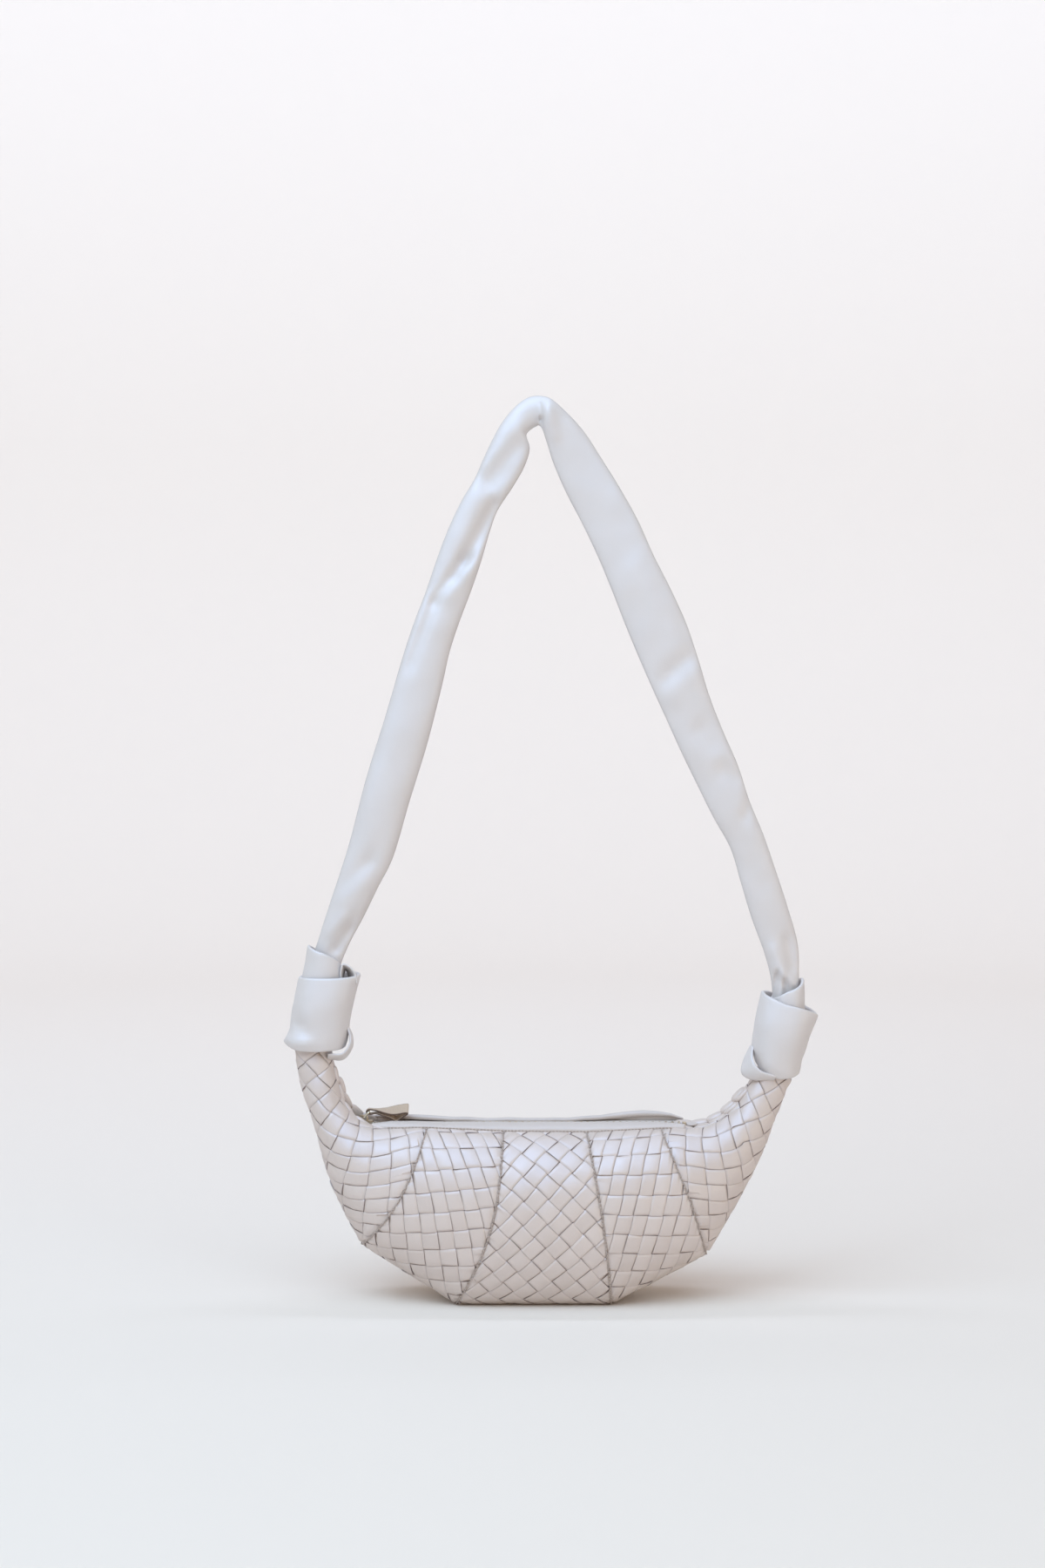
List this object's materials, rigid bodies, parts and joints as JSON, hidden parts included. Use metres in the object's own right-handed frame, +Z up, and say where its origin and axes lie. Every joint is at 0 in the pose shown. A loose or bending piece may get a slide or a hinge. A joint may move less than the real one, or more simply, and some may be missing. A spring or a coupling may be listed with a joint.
{
  "type": "crescent bag",
  "caption": "Small crescent shoulder bag of woven leather gores with a zipped mouth and a soft strap knotted to its two horns",
  "frame": {"origin": "middle of the flat base of the centre gore, on the surface the bag stands on", "axes": "+X runs along the mouth towards the right horn, -Y faces the pictured front, +Z up along the raised strap"},
  "size_m": [0.3443, 0.091, 0.5795],
  "materials": {
    "pearl_leather": "satin pearl-coated woven leather",
    "smooth_leather": "satin smooth leather",
    "raw_leather": "matt flesh side of leather",
    "lining_cloth": "plain cotton twill",
    "zip_cloth": "woven zip tape",
    "pale_metal": "polished pale gold plating"
  },
  "bodies": {
    "bag_body": {"end_gore_left": "pearl_leather", "side_gore_left": "pearl_leather", "centre_gore": "pearl_leather", "side_gore_right": "pearl_leather", "end_gore_right": "pearl_leather", "lining": "lining_cloth", "front_facing": "smooth_leather", "rear_facing": "smooth_leather", "front_zip_tape": "zip_cloth", "rear_zip_tape": "zip_cloth", "front_zip_teeth": "pale_metal", "rear_zip_teeth": "pale_metal", "zip_bottom_stop": "pale_metal", "zip_end_tab_left": "smooth_leather", "zip_end_tab_right": "smooth_leather", "strap_stem_left": "pearl_leather", "knot_wrap_left": "pearl_leather", "knot_collar_left": "pearl_leather", "knot_loop_left": "pearl_leather", "knot_tail_left": "pearl_leather", "strap_stem_right": "pearl_leather", "knot_wrap_right": "pearl_leather", "knot_collar_right": "pearl_leather", "knot_tail_right": "pearl_leather"},
    "strap": {"shoulder_strap": "pearl_leather"},
    "slider": {"zip_slider": "pale_metal"},
    "link": {"pull_link": "pale_metal"},
    "tab": {"pull_tab": "raw_leather"}
  },
  "joints": [
    {"name": "strap_swing", "type": "hinge", "parent": "bag_body", "child": "strap", "pos_m": [-0.131, 0, 0.236], "axis": [0.9976, 0, -0.069], "range_deg": [-115, 115]},
    {"name": "zip_slide", "type": "slide", "parent": "bag_body", "child": "slider", "axis": [1, 0, 0], "range_m": [0, 0.194], "deforming": ["front_zip_teeth", "rear_zip_teeth", "front_zip_tape", "rear_zip_tape"]},
    {"name": "pull_tilt", "type": "hinge", "parent": "slider", "child": "link", "pos_m": [-0.1141, 0, 0.1164], "axis": [0, 1, 0], "range_deg": [-75, 0]},
    {"name": "tab_tilt", "type": "hinge", "parent": "link", "child": "tab", "pos_m": [-0.11024, 0, 0.121], "axis": [0, 1, 0], "range_deg": [-30, 0]}
  ]
}
